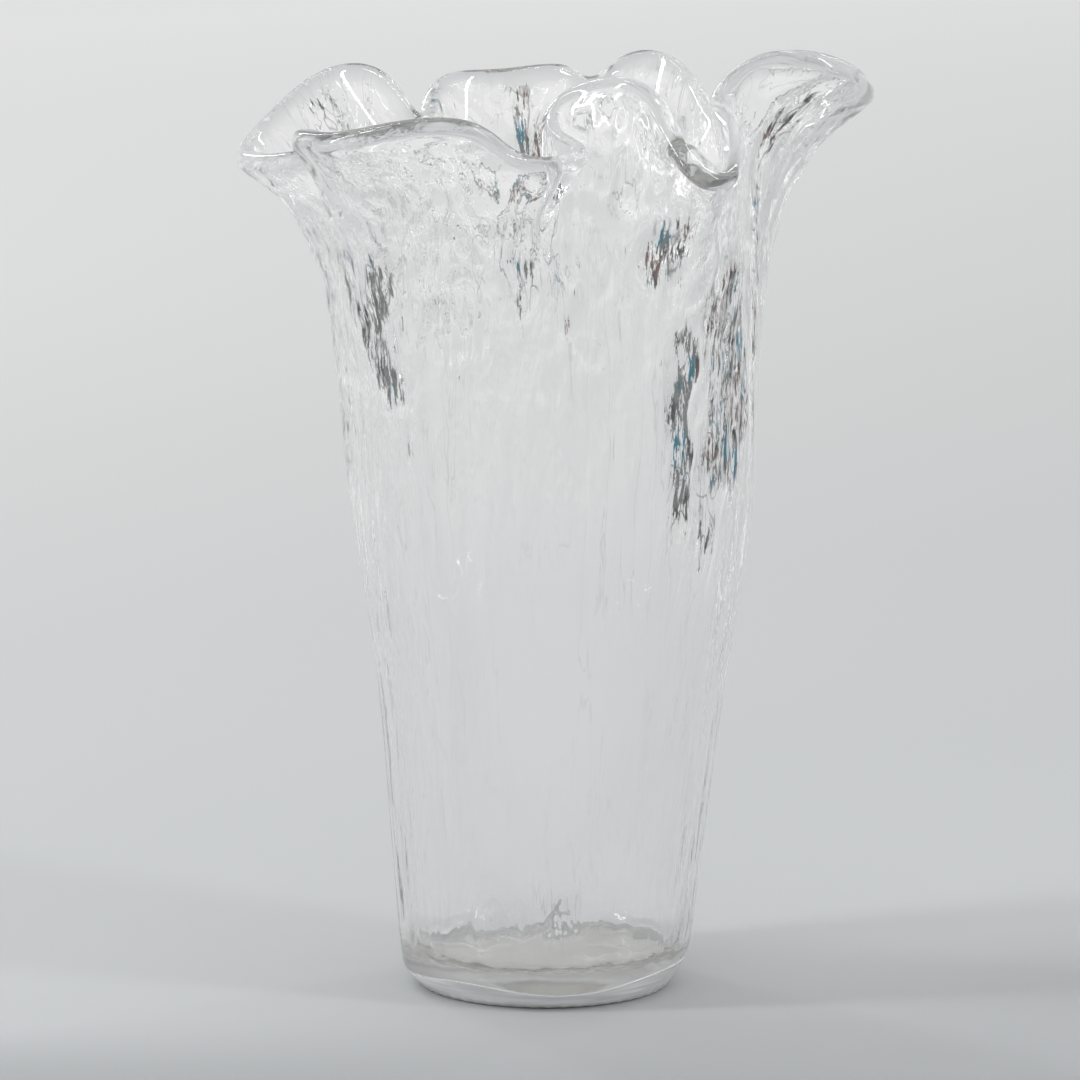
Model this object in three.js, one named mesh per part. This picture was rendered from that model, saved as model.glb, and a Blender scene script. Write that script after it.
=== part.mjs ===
// Clear art glass vase, blown and hot-worked as one piece of glass: a thick flat base, a tapering
// body and a freely ruffled rim with a rounded, fire-polished lip.
// Millimetres, +Z up. The origin is the middle of the flat underside, and -Y is the front.
import * as THREE from "three";

// Base
const restRadius = 38.5; // the flat face that the vase stands on
const bevelHeight = 6.2; // steep bevel between that face and the edge of the heel
const bevelRadius = 43.2; // outside of the glass at that edge
const heelHeight = 9.4; // above the edge, the heel is eased into the wall up to here
const heelRadius = 44.6; // outside of the wall there
const floorThickness = 11; // solid glass under the inside
const floorCorner = 9; // radius where the floor turns up into the wall

// Body: two cones with a soft step between them, measured on the outside
const waistHeight = 99; // top of the lower cone, above the table
const waistRadius = 53.9;
const shoulderRise = 51; // from the waist to the foot of the upper cone
const shoulderRadius = 61.4;
const neckRise = 36; // from the shoulder to the neck, where the ruffles begin
const neckRadius = 63.4;
const wallThickness = 4.2;

// What the hand left in it
const lean = 1.2; // the neck stands this far to the right of the base
const bow = 1.7; // and the middle of the body stands this far to the right of both
const bowEase = 1.5; // higher sets the bow further up the body

// Rim
const widestReach = 37; // the lip of the widest lobe stands out this far from the neck
const tallestRise = 104; // and that of the tallest one rises this far above it
const lipThickness = 6.8; // across the rounded lip
const lipRun = 16; // the wall thickens to the lip over this length
const ruffleSlope = 0.3; // share of its reach that a ruffle takes on evenly from the neck up
const ruffleEase = 4; // higher turns it out by the rest later and more sharply
const driftEase = 3; // the same for the way the columns turn towards the lobes
const rollEase = 2.4; // a rolled part is highest at about three quarters of its way to the lip
// Middle line of the lip, anticlockwise from the right as seen from above: the turn in degrees,
// and the reach and the rise there as shares of the two above. Where the glass rolls over
// outwards, roll says how far it rises above the straight way to the lip, as a share of the rise.
const ruffles = [
  { turn: 0, reach: 0.95, rise: 0.88 }, // lobe on the right, drawn out to a point
  { turn: 14, reach: 0.89, rise: 0.88 },
  { turn: 27, reach: 0.62, rise: 0.83 },
  { turn: 40, reach: 0.24, rise: 0.72 },
  { turn: 51, reach: 0.3, rise: 0.82 }, // narrow lobe at the back right
  { turn: 62, reach: 0.43, rise: 0.9 },
  { turn: 70, reach: 0.41, rise: 0.9 },
  { turn: 78, reach: 0.11, rise: 0.82 },
  { turn: 86, reach: 0.27, rise: 0.86 }, // broad lobe at the back
  { turn: 100, reach: 0.43, rise: 0.84 },
  { turn: 116, reach: 0.38, rise: 0.83 },
  { turn: 129, reach: 0.08, rise: 0.72 },
  { turn: 138, reach: 0.32, rise: 0.88 }, // tall lobe at the back left, sloping down to a point
  { turn: 148, reach: 0.51, rise: 0.88 },
  { turn: 167, reach: 0.73, rise: 0.76 },
  { turn: 182, reach: 0.84, rise: 0.69 },
  { turn: 196, reach: 0.62, rise: 0.7 },
  { turn: 207, reach: 0.43, rise: 0.74 },
  { turn: 213, reach: 0.57, rise: 0.79 }, // broad lobe at the front left
  { turn: 218, reach: 0.89, rise: 0.81 },
  { turn: 230, reach: 1, rise: 0.82 },
  { turn: 245, reach: 0.84, rise: 0.87 },
  { turn: 253, reach: 0.72, rise: 0.87 },
  { turn: 257, reach: 0.62, rise: 0.84 },
  { turn: 260.7, reach: 0.47, rise: 0.78 }, // low front fold, beside the tall lobe
  { turn: 265.1, reach: 0.4, rise: 0.75 },
  { turn: 270.4, reach: 0.38, rise: 0.75 },
  { turn: 276.5, reach: 0.32, rise: 0.76 },
  { turn: 278, reach: 0.19, rise: 0.78 },
  { turn: 273.9, reach: 0, rise: 0.8 },
  { turn: 269.7, reach: -0.18, rise: 0.83 },
  { turn: 270.7, reach: -0.29, rise: 0.87 },
  { turn: 276.5, reach: -0.36, rise: 0.91 },
  { turn: 282.5, reach: -0.27, rise: 0.94 },
  { turn: 288.3, reach: -0.06, rise: 0.96 }, // tall lobe at the front
  { turn: 292.6, reach: 0.16, rise: 0.96 },
  { turn: 296.1, reach: 0.33, rise: 0.91 },
  { turn: 297.3, reach: 0.47, rise: 0.84, roll: 0.02 },
  { turn: 297.7, reach: 0.63, rise: 0.78, roll: 0.12 },
  { turn: 298.5, reach: 0.8, rise: 0.74, roll: 0.22 }, // low curl at the front right, rolled out
  { turn: 300.7, reach: 0.89, rise: 0.71, roll: 0.16 },
  { turn: 305.1, reach: 0.82, rise: 0.72, roll: 0.08 },
  { turn: 310.5, reach: 0.62, rise: 0.75, roll: 0.03 },
  { turn: 319.1, reach: 0.28, rise: 0.83 },
  { turn: 333, reach: -0.11, rise: 0.88 },
  { turn: 340, reach: 0.11, rise: 0.98 }, // upper edge of the lobe on the right
  { turn: 344, reach: 0.54, rise: 1 },
  { turn: 351, reach: 0.84, rise: 0.95 },
];

// Facets
const columns = 104; // around the vase
const bodyRows = 10; // up the outside of the body, and again down its inside
const ruffleRows = 13; // up the ruffles
const lipRows = 6; // over the lip
const cornerRows = 4; // round the corner of the floor
const normalSpan = 2; // columns to each side that give the direction of the wall

const neckHeight = waistHeight + shoulderRise + neckRise;
const neckMiddle = neckRadius - wallThickness / 2; // radius of the middle of the glass at the neck
const fullTurn = 2 * Math.PI;
const { lerp, smoothstep, degToRad } = THREE.MathUtils;

function onCircle(turn, radius, height) {
  return new THREE.Vector3(radius * Math.cos(turn), radius * Math.sin(turn), height);
}

// One ring of points round the vase, one for each column.
function ring(pointAt) {
  return Array.from({ length: columns }, (unused, column) => pointAt(column));
}

// Middle line of the lip, with its points evenly spaced along its length.
const lipLine = new THREE.CatmullRomCurve3(
  ruffles.map(({ turn, reach, rise }) => {
    const radius = neckMiddle + widestReach * reach;
    return onCircle(degToRad(turn), radius, neckHeight + tallestRise * rise);
  }),
  true,
  "centripetal",
);
const lipPoints = lipLine.getSpacedPoints(columns);

// How far the glass of each column rises above its lip before it rolls over.
const rolls = ring((column) => {
  const place = lipLine.getUtoTmapping(column / columns) * ruffles.length;
  const before = Math.floor(place);
  const [start, end] = [before, before + 1].map((row) => ruffles[row % ruffles.length].roll ?? 0);
  return tallestRise * lerp(start, end, smoothstep(place, before, before + 1));
});

// The columns stand evenly round the body, turned so that they drift least on their way to the lip.
const drifts = ring((column) => {
  const { x, y } = lipPoints[column];
  const drift = Math.atan2(y, x) - (fullTurn * column) / columns;
  return drift - fullTurn * Math.round(drift / fullTurn);
});
const startTurn = drifts.reduce((sum, drift) => sum + drift) / columns;
const bodyTurns = drifts.map((drift, column) => startTurn + (fullTurn * column) / columns);

// Outside radius of the body at a height above the table.
function bodyRadius(height) {
  const lower = lerp(heelRadius, waistRadius, (height - heelHeight) / (waistHeight - heelHeight));
  const shoulderHeight = waistHeight + shoulderRise;
  const upper = lerp(shoulderRadius, neckRadius, (height - shoulderHeight) / neckRise);
  return lerp(lower, upper, smoothstep(height, waistHeight, shoulderHeight));
}

// A point in the body at a height, and at a depth into the wall from its outside.
function bodyPoint(column, height, depth) {
  const point = onCircle(bodyTurns[column], bodyRadius(height) - depth, height);
  const climb = height / neckHeight;
  point.x += lean * climb + bow * Math.sin(Math.PI * climb ** bowEase);
  return point;
}

// The middle of the glass in the ruffles, as rings from the neck up to the lip.
const ruffleRings = Array.from({ length: ruffleRows + 1 }, (unused, row) => {
  const climb = row / ruffleRows;
  return ring((column) => {
    const { x, y, z } = lipPoints[column];
    const turn = bodyTurns[column] + (drifts[column] - startTurn) * climb ** driftEase;
    const flare = lerp(climb ** ruffleEase, climb, ruffleSlope);
    const radius = lerp(neckMiddle, Math.hypot(x, y), flare);
    const hump = rolls[column] * Math.sin(Math.PI * climb ** rollEase);
    const point = onCircle(turn, radius, lerp(neckHeight, z, climb) + hump);
    point.x += lean;
    return point;
  });
});

// A point of the ruffles at an angle across the glass: 0 is its outside and half a turn its inside.
function rufflePoint(row, column, angle) {
  const here = ruffleRings[row];
  const above = ruffleRings[Math.min(row + 1, ruffleRows)];
  const below = ruffleRings[Math.max(row - 1, 0)];
  const along = above[column].clone().sub(below[column]).normalize();
  const ahead = here[(column + normalSpan) % columns];
  const behind = here[(column + columns - normalSpan) % columns];
  const around = ahead.clone().sub(behind);
  const outward = around.clone().cross(along).normalize();
  const beyondLip = outward.clone().cross(around).normalize();
  const toLip = here[column].distanceTo(ruffleRings[ruffleRows][column]);
  const thickness = lerp(lipThickness, wallThickness, smoothstep(toLip, 0, lipRun));
  return here[column]
    .clone()
    .addScaledVector(outward, (thickness / 2) * Math.cos(angle))
    .addScaledVector(beyondLip, (thickness / 2) * Math.sin(angle));
}

// All rings in order: up the outside, over the lip, and down the inside to the floor.
const rings = [];
rings.push(ring((column) => onCircle(bodyTurns[column], restRadius, 0)));
rings.push(ring((column) => onCircle(bodyTurns[column], bevelRadius, bevelHeight)));
for (let row = 0; row < bodyRows; row++) {
  const height = lerp(heelHeight, neckHeight, row / bodyRows);
  rings.push(ring((column) => bodyPoint(column, height, 0)));
}
for (let row = 0; row < ruffleRows; row++) {
  rings.push(ring((column) => rufflePoint(row, column, 0)));
}
for (let row = 0; row <= lipRows; row++) {
  const angle = (Math.PI * row) / lipRows;
  rings.push(ring((column) => rufflePoint(ruffleRows, column, angle)));
}
for (let row = ruffleRows - 1; row >= 0; row--) {
  rings.push(ring((column) => rufflePoint(row, column, Math.PI)));
}
const cornerTop = floorThickness + floorCorner;
for (let row = bodyRows - 1; row >= 0; row--) {
  const height = lerp(cornerTop, neckHeight, row / bodyRows);
  rings.push(ring((column) => bodyPoint(column, height, wallThickness)));
}
for (let row = 1; row <= cornerRows; row++) {
  const angle = (Math.PI / 2) * (row / cornerRows);
  const inset = wallThickness + floorCorner * (1 - Math.cos(angle));
  const sunk = floorCorner * Math.sin(angle);
  rings.push(
    ring((column) => bodyPoint(column, cornerTop, inset).add(new THREE.Vector3(0, 0, -sunk))),
  );
}

// Joins the rings into one closed skin, with a fan of facets on each end.
function loft(skinRings, startCentre, endCentre) {
  const points = [startCentre, ...skinRings.flat(), endCentre];
  const last = points.length - 1;
  const facets = [];
  for (let column = 0; column < columns; column++) {
    const next = (column + 1) % columns;
    facets.push(0, 1 + next, 1 + column);
    for (let row = 1; row < skinRings.length; row++) {
      const lower = 1 + (row - 1) * columns;
      const upper = lower + columns;
      facets.push(lower + column, lower + next, upper + next);
      facets.push(lower + column, upper + next, upper + column);
    }
    facets.push(last, last - columns + column, last - columns + next);
  }
  const skin = new THREE.BufferGeometry().setFromPoints(points);
  skin.setIndex(facets);
  skin.computeVertexNormals();
  return skin;
}

// Clear glass: the lip and the base look a little greyer only because they are thicker.
const clearGlass = new THREE.MeshStandardMaterial({
  color: 0xe9eceb,
  roughness: 0.05,
  metalness: 0,
  transparent: true,
  opacity: 0.35,
});

const underside = new THREE.Vector3(0, 0, 0);
const floorCentre = new THREE.Vector3(0, 0, floorThickness);
const vaseBody = new THREE.Mesh(loft(rings, underside, floorCentre), clearGlass);
vaseBody.name = "vase_body";

const vase = new THREE.Group();
vase.add(vaseBody);

export default vase;
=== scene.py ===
import math

import bpy
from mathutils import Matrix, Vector, kdtree, noise


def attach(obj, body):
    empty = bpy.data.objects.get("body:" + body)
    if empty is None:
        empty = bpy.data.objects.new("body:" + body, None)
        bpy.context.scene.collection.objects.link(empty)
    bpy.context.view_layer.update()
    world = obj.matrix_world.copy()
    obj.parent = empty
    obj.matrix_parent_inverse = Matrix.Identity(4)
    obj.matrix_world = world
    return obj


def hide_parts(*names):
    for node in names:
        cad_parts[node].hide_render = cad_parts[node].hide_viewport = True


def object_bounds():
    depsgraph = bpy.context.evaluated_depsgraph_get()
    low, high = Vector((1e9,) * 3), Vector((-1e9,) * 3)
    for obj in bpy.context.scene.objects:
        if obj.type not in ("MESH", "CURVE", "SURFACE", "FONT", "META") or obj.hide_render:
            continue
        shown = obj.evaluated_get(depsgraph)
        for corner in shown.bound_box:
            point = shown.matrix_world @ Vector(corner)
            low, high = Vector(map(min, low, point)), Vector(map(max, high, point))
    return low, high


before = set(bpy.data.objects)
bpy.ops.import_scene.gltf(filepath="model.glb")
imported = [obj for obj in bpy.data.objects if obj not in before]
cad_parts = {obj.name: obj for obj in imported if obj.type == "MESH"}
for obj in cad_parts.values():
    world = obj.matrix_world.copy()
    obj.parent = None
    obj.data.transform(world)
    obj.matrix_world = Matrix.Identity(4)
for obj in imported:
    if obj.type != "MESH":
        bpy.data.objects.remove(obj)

# Clear art glass vase: one thick piece of blown glass, bark-like outside, with a ruffled rim.
# Everything is in metres in the CAD frame: +Z up, -Y towards the camera.

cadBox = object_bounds()  # before anything is added, this is the CAD model's box
mm = 0.001
noiseMiddle = 0.5  # what a noise node gives on average
spotEdge = (0.5, 1.5)  # a spot round the vase is whole up to 0.5 of its half width, and gone at 1.5


def fromHex(code):
    # sRGB hex to the linear colour that a socket takes
    channels = [int(code[i:i + 2], 16) / 255 for i in (1, 3, 5)]
    linear = [c / 12.92 if c <= 0.04045 else ((c + 0.055) / 1.055) ** 2.4 for c in channels]
    return (*linear, 1)


def addNode(tree, kind, inputs=(), stops=(), **settings):
    # inputs pairs a socket's name or number with a value, or with the node or socket that feeds it,
    # and stops are a colour ramp's places and hex colours
    node = tree.nodes.new("ShaderNode" + kind)
    for name, value in settings.items():
        setattr(node, name, value)
    for socket, source in inputs:
        if isinstance(source, bpy.types.Node):
            source = source.outputs[0]
        if isinstance(source, bpy.types.NodeSocket):
            tree.links.new(source, node.inputs[socket])
        else:
            node.inputs[socket].default_value = source
    for index, (position, code) in enumerate(stops):
        elements = node.color_ramp.elements  # a new ramp has two
        stop = elements[index] if index < 2 else elements.new(position)
        stop.position = position
        stop.color = fromHex(code)
    return node


def emptyTree(block):
    # the node tree of a new material or world
    block.use_nodes = True
    block.node_tree.nodes.clear()
    return block.node_tree


def smoothStep(value, low, high):
    share = min(max((value - low) / (high - low), 0), 1)
    return share * share * (3 - 2 * share)


def degreesApart(turn, other):
    return abs((turn - other + 180) % 360 - 180)


def shareAround(turn, spot):
    # how much of a spot there is at this turn, from 0 to 1
    near, far = [share * spot["spread"] for share in spotEdge]
    return 1 - smoothStep(degreesApart(turn, spot["turn"]), near, far)


vase = {
    "node": "vase_body",
    "mergeGap": 0.01 * mm,
    "smoothing": 2,  # each CAD facet becomes 4 by 4
    # rings of points are counted from the middle of the underside: rest edge 1, top of the bevel 2
    "crispRings": (1, 2),
    "crispness": 0.75,
    "groundRings": 2,  # the underside and the bevel, up to this ring, were ground
    "bevel": {"ring": 2, "lift": 2.2 * mm, "widen": 0.9 * mm},  # it runs straight up to the wall
    # the corner where the floor turns up into the wall inside, and how much of its roundness is left
    "corner": {"rings": 6, "height": 11 * mm, "radius": 41.5 * mm, "share": 0.6},
    # the heel hangs lower in front and on the left: turn and reach in degrees, and share of its height
    "dips": [
        {"turn": 277, "reach": 52, "share": 0.42},
        {"turn": 195, "reach": 60, "share": 0.3},
    ],
    "dipRings": (2, 3),
    "crestReach": 0.3,  # points within this part of a ring from the crest count as the lip
    "clearLip": (3 * mm, 7 * mm),  # the flame smoothed the glass this far below the lip
    "clearHeel": (7 * mm, 22 * mm),  # and the bark fades out towards the heel
    "fadeHeight": (60 * mm, 215 * mm),  # it is faint below the first height and full above the second
    "faintBark": 0.22,
    "fullBark": 0.8,
    "wrinkles": (180 * mm, 230 * mm),  # the bark turns from upright to crumpled between these heights
    "flowRadius": 65 * mm,  # where the streaks have their true width
    "flowPull": 0.7,  # how far they follow the flare of the rim
    "gougeFade": 11 * mm,  # over which a gouge ends above and below
    "gougeLip": (3 * mm, 8 * mm),  # a gouge comes nearer to the lip than the rest of the bark
    "gougeSway": {"turn": 7, "over": 22 * mm},  # and strays from the upright by this many degrees
}

# The glass inside set unevenly round its floor, in waves with finer waves on them
pool = {
    "size": 12 * mm,
    "depth": 0.8 * mm,
    "finer": 2.6,  # times as fine
    "finerShare": 0.5,
    "away": (9.6 * mm, 24 * mm),  # the waves come in between these distances from the axis
    "fade": (14.4 * mm, 24 * mm),  # and end between these heights
}

# Bark relief that is large enough for the mesh: width and length of a streak, and its depth
relief = [
    {"width": 11 * mm, "length": 80 * mm, "depth": 0.5 * mm},
    {"width": 5.5 * mm, "length": 28 * mm, "depth": 0.5 * mm},
    {"width": 3.2 * mm, "length": 13 * mm, "depth": 0.3 * mm},
]
# Towards the rim this comes in, and takes the place of that share of the upright streaks
crumple = {"width": 8 * mm, "length": 12 * mm, "depth": 0.8 * mm, "replaces": 0.5}

# Where the flame reached further down from the lip: turn in degrees, half width, and how far
flamed = [
    {"turn": 286, "spread": 13, "reach": 3 * mm},
    {"turn": 240, "spread": 16, "reach": 4 * mm},
]

# Places where the bark is deepest: turn in degrees, half width, the heights between which it lies, and
# how far the painted reflections there go from grey to teal and brown, standing in for a coloured room
gouges = [
    {"turn": 211, "spread": 5, "low": 206 * mm, "high": 240 * mm, "bark": 1.48, "paintedRoomColour": 0},
    {"turn": 222, "spread": 6, "low": 184 * mm, "high": 238 * mm, "bark": 1.55, "paintedRoomColour": 0},
    {"turn": 229, "spread": 1, "low": 165 * mm, "high": 186 * mm, "bark": 1.3, "paintedRoomColour": 0},
    {"turn": 264, "spread": 4, "low": 214 * mm, "high": 244 * mm, "bark": 1.35, "paintedRoomColour": 0.5},
    {"turn": 273, "spread": 3, "low": 209 * mm, "high": 222 * mm, "bark": 1.5, "paintedRoomColour": 1},
    {"turn": 303, "spread": 7, "low": 222 * mm, "high": 252 * mm, "bark": 1.42, "paintedRoomColour": 1},
    {"turn": 310, "spread": 4.5, "low": 146 * mm, "high": 216 * mm, "bark": 1.6, "paintedRoomColour": 0.4},
    {"turn": 319, "spread": 5, "low": 132 * mm, "high": 180 * mm, "bark": 1.3, "paintedRoomColour": 0.9},
    {"turn": 328, "spread": 13, "low": 155 * mm, "high": 236 * mm, "bark": 1.46, "paintedRoomColour": 0.9},
    {"turn": 347, "spread": 3, "low": 165 * mm, "high": 288 * mm, "bark": 1.3, "paintedRoomColour": 1},
    {"turn": 15, "spread": 8, "low": 140 * mm, "high": 250 * mm, "bark": 1.2, "paintedRoomColour": 0.6},
    {"turn": 20, "spread": 26, "low": 245 * mm, "high": 292 * mm, "bark": 1.15, "paintedRoomColour": 0.4},
    {"turn": 52, "spread": 4, "low": 266 * mm, "high": 290 * mm, "bark": 1.5, "paintedRoomColour": 1},
    {"turn": 95, "spread": 5, "low": 200 * mm, "high": 288 * mm, "bark": 1.35, "paintedRoomColour": 0.8},
    {"turn": 120, "spread": 9, "low": 185 * mm, "high": 280 * mm, "bark": 1.18, "paintedRoomColour": 0.2},
    {"turn": 150, "spread": 6, "low": 180 * mm, "high": 290 * mm, "bark": 1.22, "paintedRoomColour": 0.2},
    {"turn": 185, "spread": 9, "low": 150 * mm, "high": 245 * mm, "bark": 1.25, "paintedRoomColour": 0.3},
    {"turn": 262, "spread": 22, "low": 26 * mm, "high": 36 * mm, "bark": 1.36, "paintedRoomColour": 0},
]


def ringsFromUnderside(mesh):
    # number of edges from the middle of the underside to each point: the glass is made of rings
    neighbours = [[] for point in mesh.vertices]
    for edge in mesh.edges:
        a, b = edge.vertices
        neighbours[a].append(b)
        neighbours[b].append(a)
    middle = min(mesh.vertices, key=lambda point: point.co.length).index
    rings = [None] * len(mesh.vertices)
    rings[middle] = 0
    front = [middle]
    while front:
        nextFront = []
        for point in front:
            for other in neighbours[point]:
                if rings[other] is None:
                    rings[other] = rings[point] + 1
                    nextFront.append(other)
        front = nextFront
    return rings


print("vase: copying and smoothing the CAD glass")
bpy.ops.object.select_all(action="DESELECT")
glass = bpy.data.objects.new("vase_glass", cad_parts[vase["node"]].data.copy())
bpy.context.collection.objects.link(glass)
glass.data.materials.clear()
glass.select_set(True)
bpy.context.view_layer.objects.active = glass
bpy.ops.mesh.customdata_custom_splitnormals_clear()
bpy.ops.object.mode_set(mode="EDIT")
bpy.ops.mesh.select_all(action="SELECT")
bpy.ops.mesh.remove_doubles(threshold=vase["mergeGap"])
bpy.ops.object.mode_set(mode="OBJECT")
rings = ringsFromUnderside(glass.data)
heights = {}
for point, ring in zip(glass.data.vertices, rings):
    heights.setdefault(ring, []).append(point.co.z)
lipRing = max(heights, key=lambda ring: sum(heights[ring]) / len(heights[ring]))
print("  rings:", max(rings), "crest of the lip:", lipRing)
ringLayer = glass.data.attributes.new("ring", "FLOAT", "POINT")
ringLayer.data.foreach_set("value", rings)

bpy.ops.object.mode_set(mode="EDIT")
bpy.ops.mesh.tris_convert_to_quads(face_threshold=math.pi, shape_threshold=math.pi)
bpy.ops.mesh.normals_make_consistent(inside=False)
bpy.ops.object.mode_set(mode="OBJECT")
bevel, corner = vase["bevel"], vase["corner"]
for point, ring in zip(glass.data.vertices, rings):
    away = math.hypot(point.co.x, point.co.y)
    if ring == bevel["ring"]:
        point.co *= 1 + bevel["widen"] / away
        point.co.z += bevel["lift"] - point.co.z * bevel["widen"] / away
    if max(rings) - corner["rings"] < ring < max(rings):
        point.co.z -= (point.co.z - corner["height"]) * (1 - corner["share"])
        wide = 1 + (corner["radius"] - away) * (1 - corner["share"]) / away
        point.co.x *= wide
        point.co.y *= wide
    if ring in vase["dipRings"]:
        turn = math.degrees(math.atan2(point.co.y, point.co.x))
        for dip in vase["dips"]:
            near = 1 - smoothStep(degreesApart(turn, dip["turn"]), 0, dip["reach"])
            point.co.z *= 1 - dip["share"] * near
creases = [
    vase["crispness"] if rings[a] == rings[b] and rings[a] in vase["crispRings"] else 0.0
    for a, b in (edge.vertices for edge in glass.data.edges)
]
creaseLayer = glass.data.attributes.new("crease_edge", "FLOAT", "EDGE")
creaseLayer.data.foreach_set("value", creases)
print("  cage:", len(glass.data.vertices), "points,", len(glass.data.polygons), "faces")

smoothing = glass.modifiers.new("smoothing", "SUBSURF")
smoothing.levels = smoothing.render_levels = vase["smoothing"]
bpy.ops.object.modifier_apply(modifier="smoothing")
print("  smooth mesh:", len(glass.data.vertices), "points,", len(glass.data.polygons), "faces")


def flowPlace(place):
    # the place on a straight cylinder that the streaks run along
    radius = math.hypot(place.x, place.y)
    pull = (vase["flowRadius"] / max(radius, mm)) ** vase["flowPull"]
    return Vector((place.x * pull, place.y * pull, place.z))


def barkAt(place, toLip):
    # how deep the bark is at a place on the outside, from 0 to 1 and more, and how far the painted
    # reflection of the room goes towards teal and brown there
    fade = smoothStep(place.z, *vase["fadeHeight"])
    strength = vase["faintBark"] + (vase["fullBark"] - vase["faintBark"]) * fade
    turn = math.degrees(math.atan2(place.y, place.x)) % 360
    toBark = toLip - sum(flame["reach"] * shareAround(turn, flame) for flame in flamed)
    strength *= smoothStep(toBark, *vase["clearLip"])
    paintedRoomColour, edge = 0.0, vase["gougeFade"]
    for gouge in gouges:
        sway = noise.noise(Vector((gouge["turn"], 0, place.z / vase["gougeSway"]["over"])))
        share = shareAround(turn + vase["gougeSway"]["turn"] * sway, gouge)
        share *= smoothStep(place.z, gouge["low"] - edge, gouge["low"] + edge)
        share *= 1 - smoothStep(place.z, gouge["high"] - edge, gouge["high"] + edge)
        share *= smoothStep(toLip, *vase["gougeLip"])
        strength = max(strength, gouge["bark"] * share)
        paintedRoomColour = max(paintedRoomColour, gouge["paintedRoomColour"] * share)
    return strength * smoothStep(place.z, *vase["clearHeel"]), paintedRoomColour


def ridgeDepth(place, layer):
    spot = Vector((place.x / layer["width"], place.y / layer["width"], place.z / layer["length"]))
    return layer["depth"] * (1 - 2 * abs(noise.noise(spot)))


def reliefDepth(place, flow, strength, wrinkled):
    upright = sum(ridgeDepth(flow, layer) for layer in relief) * (1 - crumple["replaces"] * wrinkled)
    return strength * (upright + ridgeDepth(place, crumple) * wrinkled)


def poolDepth(place):
    share = smoothStep(math.hypot(place.x, place.y), *pool["away"])
    share *= 1 - smoothStep(place.z, *pool["fade"])
    waves = noise.noise(place / pool["size"])
    waves += pool["finerShare"] * noise.noise(place * pool["finer"] / pool["size"])
    return pool["depth"] * share * waves


def withinCad(place):
    # the bark never stands out past the CAD glass's own extents
    return Vector([min(max(value, low), high) for value, low, high in zip(place, *cadBox)])


print("vase: working the bark into the outside")
mesh = glass.data
ringOf = [0.0] * len(mesh.vertices)
mesh.attributes["ring"].data.foreach_get("value", ringOf)
crest = [
    point.co.copy()
    for point, ring in zip(mesh.vertices, ringOf)
    if abs(ring - lipRing) < vase["crestReach"]
]
crestTree = kdtree.KDTree(len(crest))
for index, place in enumerate(crest):
    crestTree.insert(place, index)
crestTree.balance()
places, flows, barks, wrinkles, paintedRoomColours = [], [], [], [], []
for point, ring in zip(mesh.vertices, ringOf):
    flow = flowPlace(point.co)
    wrinkled = smoothStep(point.co.z, *vase["wrinkles"])
    if ring < lipRing:
        toLip = crestTree.find(point.co)[2]
        strength, paintedRoomColour = barkAt(point.co, toLip)
        depth = reliefDepth(point.co, flow, strength, wrinkled)
    else:
        strength, paintedRoomColour = 0.0, 0.0
        depth = poolDepth(point.co)
    flows.extend(flow)
    barks.append(strength)
    wrinkles.append(wrinkled)
    paintedRoomColours.append(paintedRoomColour)
    places.append(withinCad(point.co + point.normal * depth))
for point, place in zip(mesh.vertices, places):
    point.co = place
for name, kind, field, values in (
    ("flow", "FLOAT_VECTOR", "vector", flows),
    ("bark", "FLOAT", "value", barks),
    ("wrinkle", "FLOAT", "value", wrinkles),
    ("paintedRoomColour", "FLOAT", "value", paintedRoomColours),
):
    mesh.attributes.new(name, kind, "POINT").data.foreach_set(field, values)
bpy.ops.object.shade_smooth()
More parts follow.
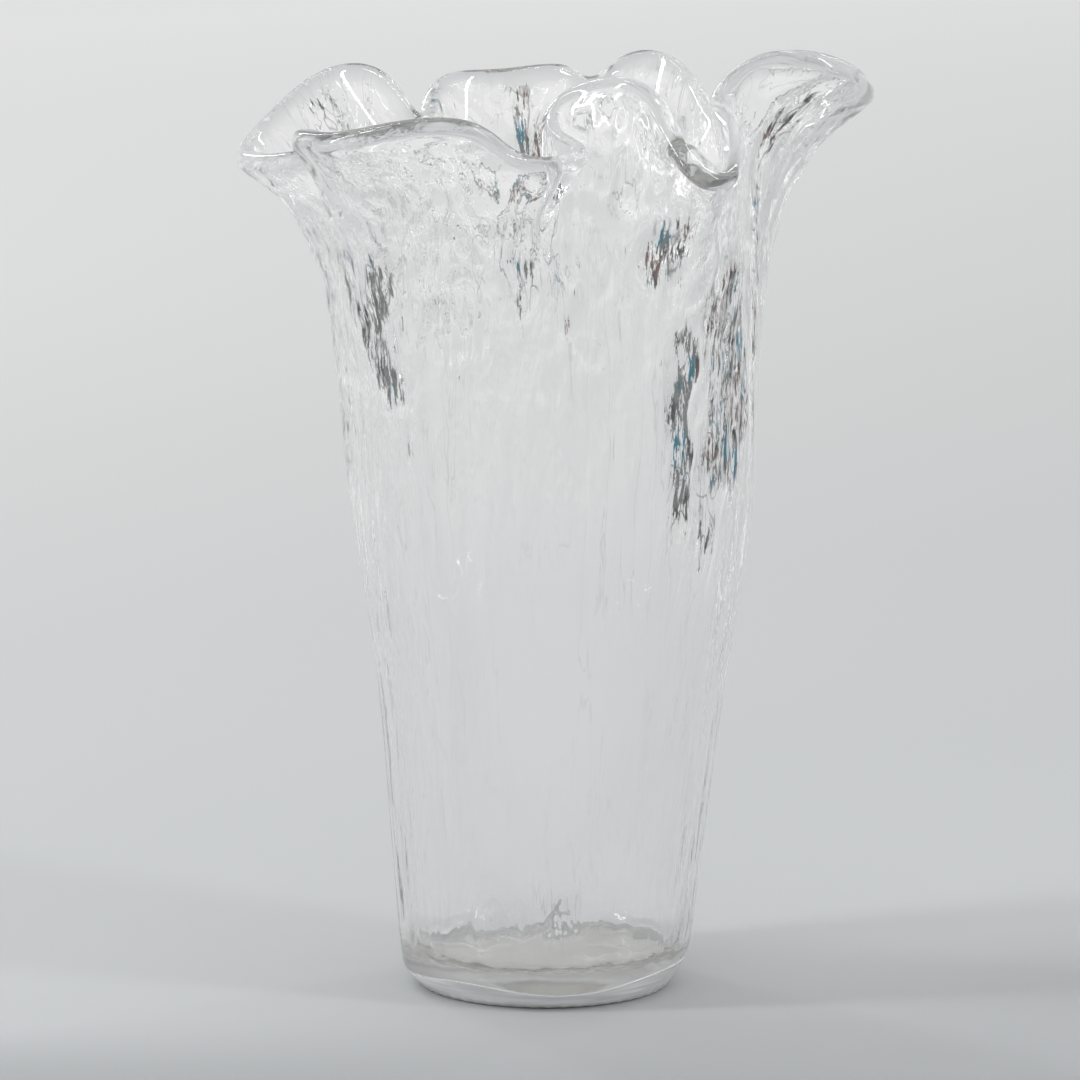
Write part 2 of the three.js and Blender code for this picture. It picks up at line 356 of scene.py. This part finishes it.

# Clear soda-lime glass, blown in a bark-lined mould and fire-polished at the lip: colourless, with
# sharp reflections. The bark is upright ridges and fine cracks, which glitter where they are steep.
# Hair lines and torn patches turn away the light from behind, so they look grey to nearly black. Here
# that grey to black is painted into the glass's own colour, as painted shade and painted reflection.
# A pattern's places say where it lies: their size, and the levels of noise between which it comes in.
glassFinish = {
    "colour": "#ffffff",
    "ior": 1.5,
    "noiseScale": 0.5,  # a crest and a hollow of the noise take two of its cells
    "wander": {"reach": 2.4 * mm, "over": 16 * mm, "detail": 2.0},  # how far a line strays sideways
    "ridges": [
        {"width": 2.6 * mm, "length": 40 * mm, "depth": 0.35 * mm},
        {"width": 1.0 * mm, "length": 9 * mm, "depth": 0.20 * mm},
    ],
    "crumple": {
        "width": 3.0 * mm, "length": 5.0 * mm, "detail": 2.0, "depth": 0.7 * mm,
        "places": {"width": 8 * mm, "length": 14 * mm, "low": 0.50, "high": 0.62},
    },
    "glitter": {
        "width": 0.8 * mm, "length": 3.0 * mm, "depth": 0.6 * mm,
        "places": {"width": 8 * mm, "length": 16 * mm, "low": 0.52, "high": 0.60},
    },
    "restless": {"width": 9 * mm, "length": 30 * mm, "low": 0.44, "high": 0.62, "least": 0.2},
    "hairs": {
        "width": 3.6 * mm, "length": 45 * mm, "detail": 3.0, "roughness": 0.6,
        "share": 0.013, "darkness": 0.4,
        "places": {"width": 12 * mm, "length": 40 * mm, "low": 0.45, "high": 0.62},
    },
    "cracks": {
        "width": 4.5 * mm, "length": 16 * mm, "detail": 3.0, "roughness": 0.65,
        "share": 0.010, "darkness": 0.8,
        "places": {"width": 8 * mm, "length": 14 * mm, "low": 0.54, "high": 0.60},
        "wrinkled": (0.7, 1.0),  # cracks come in where the bark is this crumpled
    },
    "swirls": {
        "width": 5.0 * mm, "length": 14 * mm, "detail": 2.0,
        "count": 9, "half": 0.5, "share": 0.12, "darkness": 0.8,
        "bark": (1.0, 1.3),  # swirls come in where the bark is this deep
    },
    "patches": {
        "width": 0.9 * mm, "length": 6.5 * mm, "detail": 5.0, "roughness": 0.78,
        "start": 0.62, "edge": 0.02, "bark": 1.0, "spread": 0.26,
    },
    # the painted tones of the marks, which stand in for a dark, teal and brown room that the glass
    # bends into
    # view: their reach and middle are given without the painted room colour, and what it adds
    "tones": {
        "width": 2.2 * mm, "length": 8 * mm, "reach": (0.7, 1.6), "middle": (0.45, 0.06),
        "stops": [
            (0.30, "#0f4459"), (0.36, "#4a4b4a"), (0.48, "#4a4b4a"),
            (0.53, "#1b1c1d"), (0.63, "#1b1c1d"), (0.69, "#412c26"),
        ],
    },
    "groove": 0.05 * mm,  # a dark line or patch lies this deep
}


def clearGlass():
    material = bpy.data.materials.new("clear_blown_glass")
    tree = emptyTree(material)
    flow = addNode(tree, "Attribute", attribute_name="flow").outputs["Vector"]
    bark, wrinkle, paintedRoomColour = [
        addNode(tree, "Attribute", attribute_name=name).outputs["Fac"]
        for name in ("bark", "wrinkle", "paintedRoomColour")
    ]
    space = addNode(tree, "TexCoord").outputs["Object"]

    # Everything wanders sideways a little, as bark does: streaks on the cylinder, crumples in space
    wander = glassFinish["wander"]
    drift = addNode(tree, "Mapping", [("Vector", flow), ("Scale", [1 / wander["over"]] * 3)])
    drift = addNode(tree, "TexNoise", [("Vector", drift), ("Scale", 1.0), ("Detail", wander["detail"])])
    drift = addNode(
        tree, "VectorMath", [(0, drift.outputs["Color"]), (1, [noiseMiddle] * 3)], operation="SUBTRACT",
    )
    onCylinder, inSpace = [
        addNode(
            tree, "VectorMath", [(0, drift), (1, [wander["reach"]] * 3), (2, start)],
            operation="MULTIPLY_ADD",
        )
        for start in (flow, space)
    ]

    def streaks(finish, along=onCylinder):
        # noise drawn out upwards, in real sizes
        wide, tall = 1 / finish["width"], 1 / finish["length"]
        place = addNode(tree, "Mapping", [("Vector", along), ("Scale", (wide, wide, tall))])
        return addNode(
            tree, "TexNoise",
            [
                ("Vector", place),
                ("Scale", glassFinish["noiseScale"]),
                ("Detail", finish.get("detail", 1.0)),
                ("Roughness", finish.get("roughness", 0.5)),
            ],
        )

    def somewhere(places, along=onCylinder):
        # 1 in patches of that size, and 0 or the least value between them
        return addNode(
            tree, "MapRange",
            [
                ("Value", streaks(places, along)),
                ("From Min", places["low"]),
                ("From Max", places["high"]),
                ("To Min", places.get("least", 0.0)),
            ],
            interpolation_type="SMOOTHSTEP",
        )

    # The height of the bark: ridges, crumples near the rim and glittering grains
    height = 0.0
    for ridge in glassFinish["ridges"]:
        height = addNode(
            tree, "Math", [(0, streaks(ridge)), (1, ridge["depth"]), (2, height)],
            operation="MULTIPLY_ADD",
        )
    crumpled, glitter = glassFinish["crumple"], glassFinish["glitter"]
    fold = streaks(crumpled, inSpace)
    fold = addNode(tree, "Math", [(0, fold), (1, noiseMiddle)], operation="SUBTRACT")
    fold = addNode(tree, "Math", [(0, fold)], operation="ABSOLUTE")
    fold = addNode(tree, "Math", [(0, fold), (1, wrinkle)], operation="MULTIPLY")
    for shape, finish in ((fold, crumpled), (streaks(glitter, inSpace), glitter)):
        shape = addNode(
            tree, "Math", [(0, shape), (1, somewhere(finish["places"], inSpace))], operation="MULTIPLY",
        )
        height = addNode(
            tree, "Math", [(0, shape), (1, finish["depth"]), (2, height)], operation="MULTIPLY_ADD",
        )
    for share in (somewhere(glassFinish["restless"]), bark):
        height = addNode(tree, "Math", [(0, height), (1, share)], operation="MULTIPLY")

    # Hair lines and cracks are thin lines where the noise crosses its middle, and swirls are rings
    # of them, where the noise passes one of many levels
    cracks, swirls, patches = [glassFinish[name] for name in ("cracks", "swirls", "patches")]
    marks = []
    for finish, along in ((glassFinish["hairs"], onCylinder), (cracks, inSpace)):
        away = streaks(finish, along)
        away = addNode(tree, "Math", [(0, away), (1, noiseMiddle)], operation="SUBTRACT")
        away = addNode(tree, "Math", [(0, away)], operation="ABSOLUTE")
        marks.append((away, finish))
    rounds = addNode(tree, "Math", [(0, streaks(swirls)), (1, swirls["count"])], operation="MULTIPLY")
    rounds = addNode(tree, "Math", [(0, rounds), (1, swirls["half"])], operation="PINGPONG")
    marks.append((rounds, swirls))
    hair, crack, swirl = [
        addNode(
            tree, "MapRange",
            [
                ("Value", away),
                ("From Max", mark["share"]),
                ("To Min", mark["darkness"]),
                ("To Max", 0.0),
            ],
            interpolation_type="SMOOTHSTEP",
        )
        for away, mark in marks
    ]
    nearRim, inGouge = [
        addNode(
            tree, "MapRange", [("Value", value), ("From Min", low), ("From Max", high)],
            interpolation_type="SMOOTHSTEP",
        )
        for value, (low, high) in ((wrinkle, cracks["wrinkled"]), (bark, swirls["bark"]))
    ]
    hairPlaces = somewhere(glassFinish["hairs"]["places"])
    hair = addNode(tree, "Math", [(0, hair), (1, hairPlaces)], operation="MULTIPLY")
    for share in (somewhere(cracks["places"]), nearRim):
        crack = addNode(tree, "Math", [(0, crack), (1, share)], operation="MULTIPLY")
    swirl = addNode(tree, "Math", [(0, swirl), (1, inGouge)], operation="MULTIPLY")
    thin = addNode(tree, "Math", [(0, hair), (1, crack)], operation="MAXIMUM")
    thin = addNode(tree, "Math", [(0, thin), (1, bark)], operation="MULTIPLY")

    # Torn patches lie where the noise is high, and more of them where the bark is deep
    deep = addNode(tree, "Math", [(0, bark), (1, patches["bark"])], operation="SUBTRACT")
    torn = addNode(
        tree, "Math", [(0, deep), (1, patches["spread"]), (2, streaks(patches))],
        operation="MULTIPLY_ADD",
    )
    torn = addNode(
        tree, "MapRange",
        [
            ("Value", torn),
            ("From Min", patches["start"]),
            ("From Max", patches["start"] + patches["edge"]),
        ],
        interpolation_type="SMOOTHSTEP",
    )
    # How dark each place is painted: painted shade and reflection that stand in for the light the real
    # bark bends away. The same marks are also sunk a little into the bump below.
    dark = thin
    for mark in (swirl, torn):
        dark = addNode(tree, "Math", [(0, dark), (1, mark)], operation="MAXIMUM")
    height = addNode(
        tree, "Math", [(0, dark), (1, -glassFinish["groove"]), (2, height)], operation="MULTIPLY_ADD",
    )
    bump = addNode(tree, "Bump", [("Height", height), ("Distance", 1.0), ("Strength", 1.0)])

    # Painted shade and reflection: grey where the painted room colour is 0, and further towards teal
    # and brown where it is 1
    tones = glassFinish["tones"]
    reach, middle = [
        addNode(tree, "Math", [(0, paintedRoomColour), (1, more), (2, plain)], operation="MULTIPLY_ADD")
        for plain, more in (tones["reach"], tones["middle"])
    ]
    tone = addNode(tree, "Math", [(0, streaks(tones)), (1, noiseMiddle)], operation="SUBTRACT")
    tone = addNode(tree, "Math", [(0, tone), (1, reach), (2, middle)], operation="MULTIPLY_ADD")
    tone = addNode(tree, "ValToRGB", [("Fac", tone)], stops=tones["stops"])
    colour = addNode(
        tree, "Mix", [("Factor", dark), (6, fromHex(glassFinish["colour"])), (7, tone)],
        data_type="RGBA",
    )
    shader = addNode(
        tree, "BsdfPrincipled",
        [
            ("Base Color", colour.outputs[2]),
            ("Roughness", 0.0),
            ("IOR", glassFinish["ior"]),
            ("Transmission Weight", 1.0),
            ("Normal", bump),
        ],
    )
    addNode(tree, "OutputMaterial", [("Surface", shader)])
    return material


# The flat underside and its bevel were ground by hand on a wet stone: greyish white, with fine
# scratches and a few pits. Through the thick clear base they show as one even grey. The underside is
# matt, and the bevel was polished afterwards until it let light through, so it is glossier, with bands
# round it. Roughness and clearness are given for the underside, and then for the bevel.
groundFinish = {
    "tones": ("#f3f2ee", "#cccbc7"),  # of the ground glass, and of its pits
    "pitSize": 2.2 * mm,
    "pitEdge": (0.68, 0.72),
    "bands": ("#d4d5d5", "#fafafa"),
    "bandSize": (26 * mm, 1.6 * mm),  # round the bevel, and upwards
    "bandEdge": (0.35, 0.65),
    "bandDetail": 2.0,
    "roughness": (0.75, 0.18),
    "clearness": (0.0, 0.22),
    "rise": (0.1 * mm, 1 * mm),  # heights between which the one turns into the other
    # real scratches are finer, and these are as coarse as they need to be to show
    "scratch": {"width": 0.5 * mm, "length": 14 * mm, "depth": 0.03 * mm, "detail": 3.0},
}


def groundGlass():
    material = bpy.data.materials.new("ground_glass_base")
    tree = emptyTree(material)
    place = addNode(tree, "TexCoord").outputs["Object"]
    up = addNode(tree, "SeparateXYZ", [(0, place)]).outputs["Z"]
    scratch = groundFinish["scratch"]
    grain = addNode(
        tree, "Mapping",
        [("Vector", place), ("Scale", (1 / scratch["length"], 1 / scratch["width"], 1))],
    )
    grain = addNode(
        tree, "TexNoise", [("Vector", grain), ("Scale", 1.0), ("Detail", scratch["detail"])],
    )
    bump = addNode(tree, "Bump", [("Height", grain), ("Distance", scratch["depth"])])

    pits = addNode(tree, "TexNoise", [("Vector", place), ("Scale", 1 / groundFinish["pitSize"])])
    around, upwards = groundFinish["bandSize"]
    bands = addNode(
        tree, "Mapping", [("Vector", place), ("Scale", (1 / around, 1 / around, 1 / upwards))],
    )
    bands = addNode(
        tree, "TexNoise", [("Vector", bands), ("Scale", 1.0), ("Detail", groundFinish["bandDetail"])],
    )
    surfaces = []
    for pattern, edge, tones in ((pits, "pitEdge", "tones"), (bands, "bandEdge", "bands")):
        low, high = groundFinish[edge]
        first, second = [fromHex(tone) for tone in groundFinish[tones]]
        share = addNode(tree, "MapRange", [("Value", pattern), ("From Min", low), ("From Max", high)])
        surface = addNode(
            tree, "Mix", [("Factor", share), (6, first), (7, second)], data_type="RGBA",
        )
        surfaces.append(surface.outputs[2])

    low, high = groundFinish["rise"]
    onBevel, roughness, clearness = [
        addNode(
            tree, "MapRange",
            [("Value", up), ("From Min", low), ("From Max", high), ("To Min", start), ("To Max", end)],
        )
        for start, end in ((0.0, 1.0), groundFinish["roughness"], groundFinish["clearness"])
    ]
    colour = addNode(
        tree, "Mix", [("Factor", onBevel), (6, surfaces[0]), (7, surfaces[1])], data_type="RGBA",
    )
    shader = addNode(
        tree, "BsdfPrincipled",
        [
            ("Base Color", colour.outputs[2]),
            ("Roughness", roughness),
            ("Transmission Weight", clearness),
            ("IOR", glassFinish["ior"]),
            ("Normal", bump),
        ],
    )
    addNode(tree, "OutputMaterial", [("Surface", shader)])
    return material


glass.data.materials.append(clearGlass())
glass.data.materials.append(groundGlass())
for face in mesh.polygons:
    if sum(ringOf[index] for index in face.vertices) < vase["groundRings"] * len(face.vertices):
        face.material_index = 1
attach(glass, "root")
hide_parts(vase["node"])

print("studio: floor, surroundings and lamps")
floor = {
    "radius": 12.0,
    "corners": 96,
    "gap": 0.3 * mm,  # air under the glass, so that the base mirrors as it does on a real floor
    "roughness": 0.9,
    "specular": 0.1,
    "paintedShadowSlant": 0.62,  # painted shadow: behind the vase the paint also darkens a little towards the right
    "slantFrom": (-0.115, 0.02),
    # distance behind the vase in metres, and the tone there: painted light and shade, darkest in a band
    # just in front of the vase and lighter further off
    "tones": [
        (-1.20, "#e8e8e8"),
        (-0.40, "#d6d7d8"),
        (-0.21, "#c2c3c4"),
        (-0.15, "#9d9fa1"),
        (-0.03, "#b5b7b9"),
        (0.10, "#b7b9ba"),
        (0.30, "#b7b9ba"),
        (0.70, "#bcbdbe"),
        (1.20, "#c6c7c7"),
        (1.90, "#d6d7d7"),
        (3.00, "#ebebeb"),
        (6.00, "#f0f0f0"),
    ],
}
bpy.ops.object.select_all(action="DESELECT")
bpy.ops.mesh.primitive_circle_add(
    vertices=floor["corners"], radius=floor["radius"], fill_type="NGON", location=(0, 0, -floor["gap"]),
)
sweep = bpy.context.active_object
sweep.name = "studio_floor"


def paintedFloor():
    material = bpy.data.materials.new("matt_pale_paint")
    tree = emptyTree(material)
    place = addNode(tree, "TexCoord").outputs["Object"]
    spot = addNode(tree, "SeparateXYZ", [(0, place)])
    # Painted light and shade: the tone goes by distance from the vase, and darkens towards the right
    # behind it as a painted shadow
    near, far = floor["slantFrom"]
    paintedShadowSlant = addNode(
        tree, "MapRange",
        [
            ("Value", spot.outputs["Y"]),
            ("From Min", near),
            ("From Max", far),
            ("To Max", -floor["paintedShadowSlant"]),
        ],
    )
    away = addNode(
        tree, "Math", [(0, spot.outputs["X"]), (1, paintedShadowSlant), (2, spot.outputs["Y"])],
        operation="MULTIPLY_ADD",
    )
    nearest, furthest = floor["tones"][0][0], floor["tones"][-1][0]
    share = addNode(
        tree, "MapRange", [("Value", away), ("From Min", nearest), ("From Max", furthest)],
    )
    stops = [
        ((distance - nearest) / (furthest - nearest), tone) for distance, tone in floor["tones"]
    ]
    colour = addNode(tree, "ValToRGB", [("Fac", share)], stops=stops)
    shader = addNode(
        tree, "BsdfPrincipled",
        [
            ("Base Color", colour),
            ("Roughness", floor["roughness"]),
            ("Specular IOR Level", floor["specular"]),
        ],
    )
    addNode(tree, "OutputMaterial", [("Surface", shader)])
    return material


sweep.data.materials.append(paintedFloor())

# The pale room, which the camera sees only as one tone behind the floor
surroundings = {
    "backdrop": "#e2e3e3",
    # how far up a direction points, from 0 to 1, and the tone there: a darker band above the floor
    "tones": [
        (0.0, "#e9e9e9"), (0.12, "#e9e9e9"), (0.2, "#cdcfd0"), (0.4, "#cdcfd0"), (0.6, "#fafafa"),
    ],
}


def studioWorld():
    world = bpy.data.worlds.new("pale_studio")
    tree = emptyTree(world)
    place = addNode(tree, "TexCoord").outputs["Generated"]
    way = addNode(tree, "SeparateXYZ", [(0, place)])
    air = addNode(tree, "ValToRGB", [("Fac", way.outputs["Z"])], stops=surroundings["tones"])
    ray = addNode(tree, "LightPath").outputs["Is Camera Ray"]
    seen = addNode(
        tree, "Mix", [("Factor", ray), (6, air), (7, fromHex(surroundings["backdrop"]))],
        data_type="RGBA",
    )
    shader = addNode(tree, "Background", [("Color", seen.outputs[2]), ("Strength", 1.0)])
    addNode(tree, "OutputWorld", [("Surface", shader)])
    return world


bpy.context.scene.world = studioWorld()

# Tall narrow lamps above and on all sides, bright for their size, so that the lip and the steep bark
# glint: place in metres, width and height, and power in watts
lamps = [
    {"name": "overhead_strip", "place": (-0.7, 0.3, 2.0), "size": (0.04, 0.9), "power": 3.0},
    {"name": "left_strip", "place": (-1.2, -0.35, 0.95), "size": (0.07, 1.3), "power": 8},
    {"name": "right_strip", "place": (1.06, -0.56, 0.85), "size": (0.05, 1.1), "power": 4},
    {"name": "back_left_strip", "place": (-1.0, 1.5, 1.3), "size": (0.07, 0.8), "power": 4},
    {"name": "back_right_strip", "place": (1.2, 1.3, 1.6), "size": (0.07, 0.8), "power": 3},
]
lampTarget = Vector((0, 0, 200 * mm))
for lamp in lamps:
    data = bpy.data.lights.new(lamp["name"], "AREA")
    data.shape = "RECTANGLE"
    data.size, data.size_y = lamp["size"]
    data.energy = lamp["power"]
    light = bpy.data.objects.new(lamp["name"], data)
    light.location = lamp["place"]
    light.rotation_euler = (lampTarget - light.location).to_track_quat("-Z", "Y").to_euler()
    light.visible_camera = False
    bpy.context.collection.objects.link(light)

# The camera of the photograph: 2.4 m in front of the vase, looking down on it a little
camera = {
    "place": (-1.5 * mm, -2385 * mm, 551 * mm),
    "down": 9.8,
    "lens": 261.6,
    "sensor": 36,
    "reach": 100,
}
bounces = 40  # light runs far along the inside of thick glass
cameraData = bpy.data.cameras.new("photo_camera")
cameraData.sensor_width = camera["sensor"]
cameraData.lens = camera["lens"]
cameraData.clip_end = camera["reach"]
cameraObject = bpy.data.objects.new("photo_camera", cameraData)
cameraObject.location = camera["place"]
cameraObject.rotation_euler = (math.radians(90 - camera["down"]), 0, 0)
bpy.context.collection.objects.link(cameraObject)
bpy.context.scene.camera = cameraObject
bpy.context.scene.view_settings.view_transform = "Standard"
bpy.context.scene.cycles.max_bounces = bounces
bpy.context.scene.cycles.transmission_bounces = bounces
bpy.context.scene.cycles.glossy_bounces = bounces
